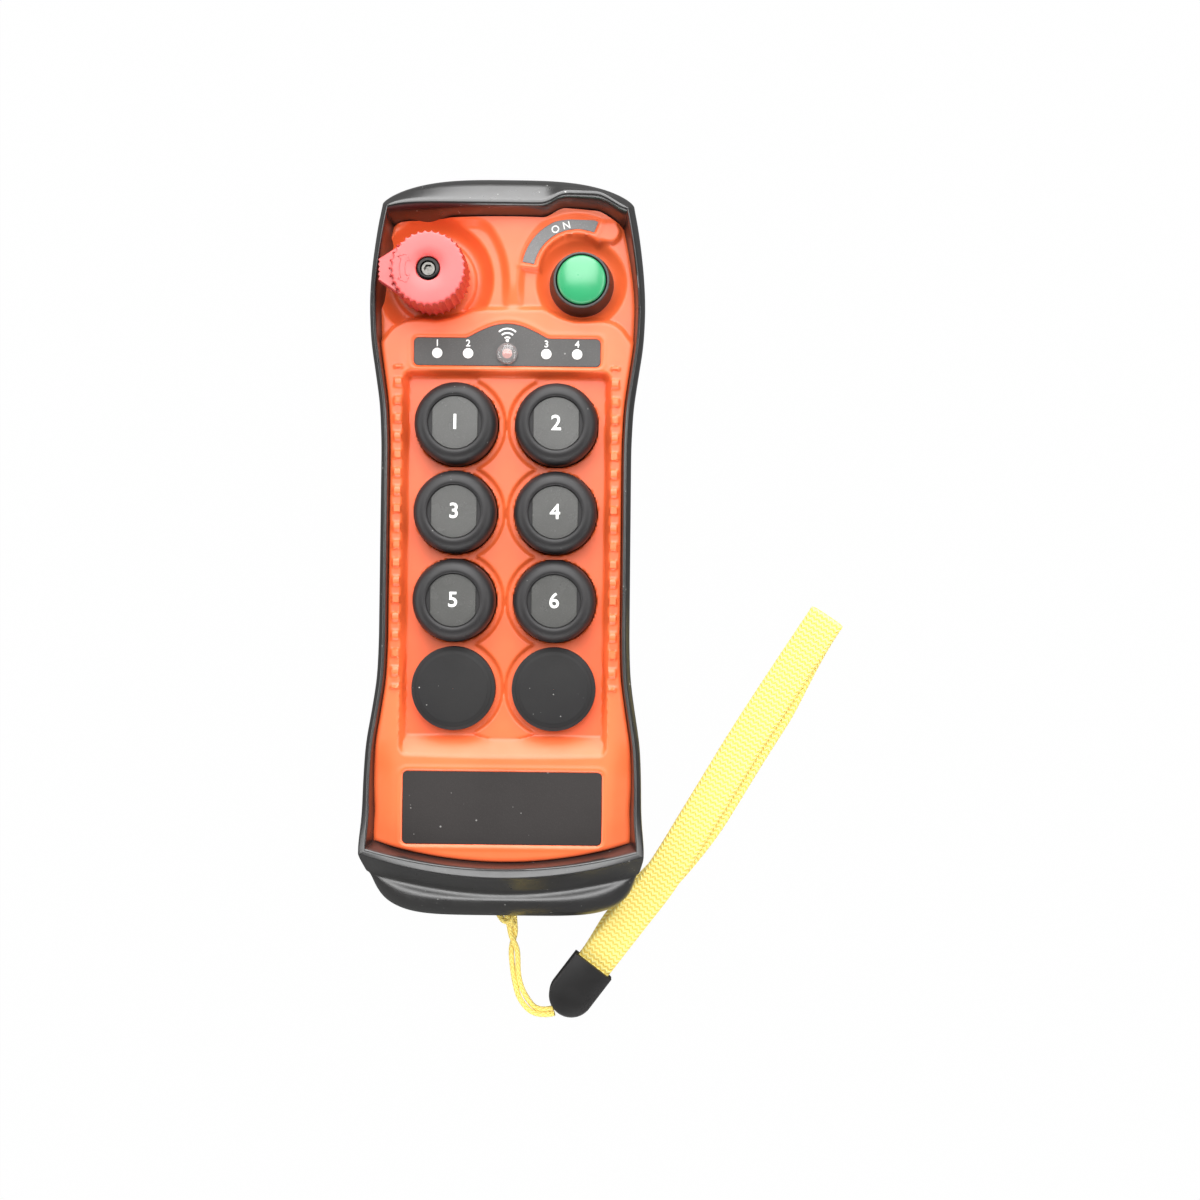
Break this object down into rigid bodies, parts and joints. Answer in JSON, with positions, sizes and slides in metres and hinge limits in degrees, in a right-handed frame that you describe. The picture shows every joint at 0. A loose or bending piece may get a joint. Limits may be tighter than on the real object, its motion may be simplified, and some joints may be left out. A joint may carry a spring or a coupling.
{
  "type": "winch remote control",
  "caption": "Hand-held radio transmitter for a winch: orange shell in a black rubber bumper, push buttons, emergency stop knob, green start button and a yellow wrist lanyard.",
  "frame": {"origin": "on the resting plane, under the middle of the body without its lanyard", "axes": "+Z out of the front face, +Y towards the emergency stop end, +X to the right seen from the front"},
  "size_m": [0.1259, 0.2211, 0.053],
  "materials": {
    "orange_shell": "fine satin moulded ABS",
    "black_rubber": "matte rubber",
    "button_rubber": "satin rubber",
    "legend_insert": "fine textured plastic",
    "black_plastic": "satin plastic",
    "red_knob": "matte plastic",
    "green_cap": "satin plastic",
    "grey_ring": "satin",
    "label_grey": "fine textured polyester",
    "label_light_grey": "fine textured polyester",
    "plate_black": "fine textured polyester",
    "white_window": "milky",
    "clear_lens": "clear plastic",
    "steel": "machined",
    "black_steel": "black oxide",
    "gasket_rubber": "soft",
    "board_green": "solder mask",
    "component_black": "moulded",
    "cell_skin": "printed sleeve",
    "nickel": "nickel plated",
    "copper": "enamelled wire",
    "yellow_cord": "braided polyester",
    "yellow_webbing": "woven polyester"
  },
  "bodies": {
    "remote_body": {"front_housing": "orange_shell", "rear_housing": "orange_shell", "rubber_bumper": "black_rubber", "housing_gasket": "gasket_rubber", "housing_screws": "black_steel", "board_screws": "steel", "battery_cover": "orange_shell", "battery_cover_screws": "black_steel", "battery_cover_seal": "gasket_rubber", "battery_cells": "cell_skin", "battery_contacts": "nickel", "battery_springs": "nickel", "main_circuit_board": "board_green", "radio_module": "nickel", "antenna_coil": "copper", "keypad_switches": "component_black", "indicator_leds": "white_window", "signal_windows": "white_window", "status_lens": "clear_lens", "status_label": "label_grey", "start_label": "label_light_grey", "name_plate": "plate_black", "blanking_plugs": "button_rubber", "estop_bush": "black_plastic", "panel_nuts": "black_plastic", "estop_spring": "steel", "estop_switch": "component_black", "start_collar": "black_plastic", "start_ring": "grey_ring", "start_spring": "steel", "start_switch": "component_black", "lanyard_pin": "steel", "lanyard_knot": "yellow_cord", "lanyard_cord": "yellow_cord", "lanyard_cap": "black_plastic", "wrist_strap": "yellow_webbing"},
    "estop_slider": {"estop_sleeve": "black_plastic"},
    "estop_head": {"estop_knob": "red_knob", "estop_knob_screw": "black_steel", "estop_shaft": "steel"},
    "start_button": {"start_cap": "green_cap"},
    "button_1": {"button_boot_1": "button_rubber", "button_insert_1": "legend_insert", "button_plunger_1": "component_black"},
    "button_2": {"button_boot_2": "button_rubber", "button_insert_2": "legend_insert", "button_plunger_2": "component_black"},
    "button_3": {"button_boot_3": "button_rubber", "button_insert_3": "legend_insert", "button_plunger_3": "component_black"},
    "button_4": {"button_boot_4": "button_rubber", "button_insert_4": "legend_insert", "button_plunger_4": "component_black"},
    "button_5": {"button_boot_5": "button_rubber", "button_insert_5": "legend_insert", "button_plunger_5": "component_black"},
    "button_6": {"button_boot_6": "button_rubber", "button_insert_6": "legend_insert", "button_plunger_6": "component_black"}
  },
  "joints": [
    {"name": "estop_push", "type": "slide", "parent": "remote_body", "child": "estop_slider", "axis": [0, 0, -1], "range_m": [0, 0.003], "deforming": ["estop_spring"]},
    {"name": "estop_twist", "type": "hinge", "parent": "estop_slider", "child": "estop_head", "pos_m": [-0.0189, 0.0682, 0.045], "axis": [0, 0, -1], "range_deg": [0, 45], "stiffness_Nm_per_rad": 0.05},
    {"name": "start_press", "type": "slide", "parent": "remote_body", "child": "start_button", "axis": [0, 0, -1], "range_m": [0, 0.002], "stiffness_N_per_m": 900, "deforming": ["start_spring"]},
    {"name": "button_1_press", "type": "slide", "parent": "remote_body", "child": "button_1", "axis": [0, 0, -1], "range_m": [0, 0.0025], "stiffness_N_per_m": 900},
    {"name": "button_2_press", "type": "slide", "parent": "remote_body", "child": "button_2", "axis": [0, 0, -1], "range_m": [0, 0.0025], "stiffness_N_per_m": 900},
    {"name": "button_3_press", "type": "slide", "parent": "remote_body", "child": "button_3", "axis": [0, 0, -1], "range_m": [0, 0.0025], "stiffness_N_per_m": 900},
    {"name": "button_4_press", "type": "slide", "parent": "remote_body", "child": "button_4", "axis": [0, 0, -1], "range_m": [0, 0.0025], "stiffness_N_per_m": 900},
    {"name": "button_5_press", "type": "slide", "parent": "remote_body", "child": "button_5", "axis": [0, 0, -1], "range_m": [0, 0.0025], "stiffness_N_per_m": 900},
    {"name": "button_6_press", "type": "slide", "parent": "remote_body", "child": "button_6", "axis": [0, 0, -1], "range_m": [0, 0.0025], "stiffness_N_per_m": 900}
  ]
}
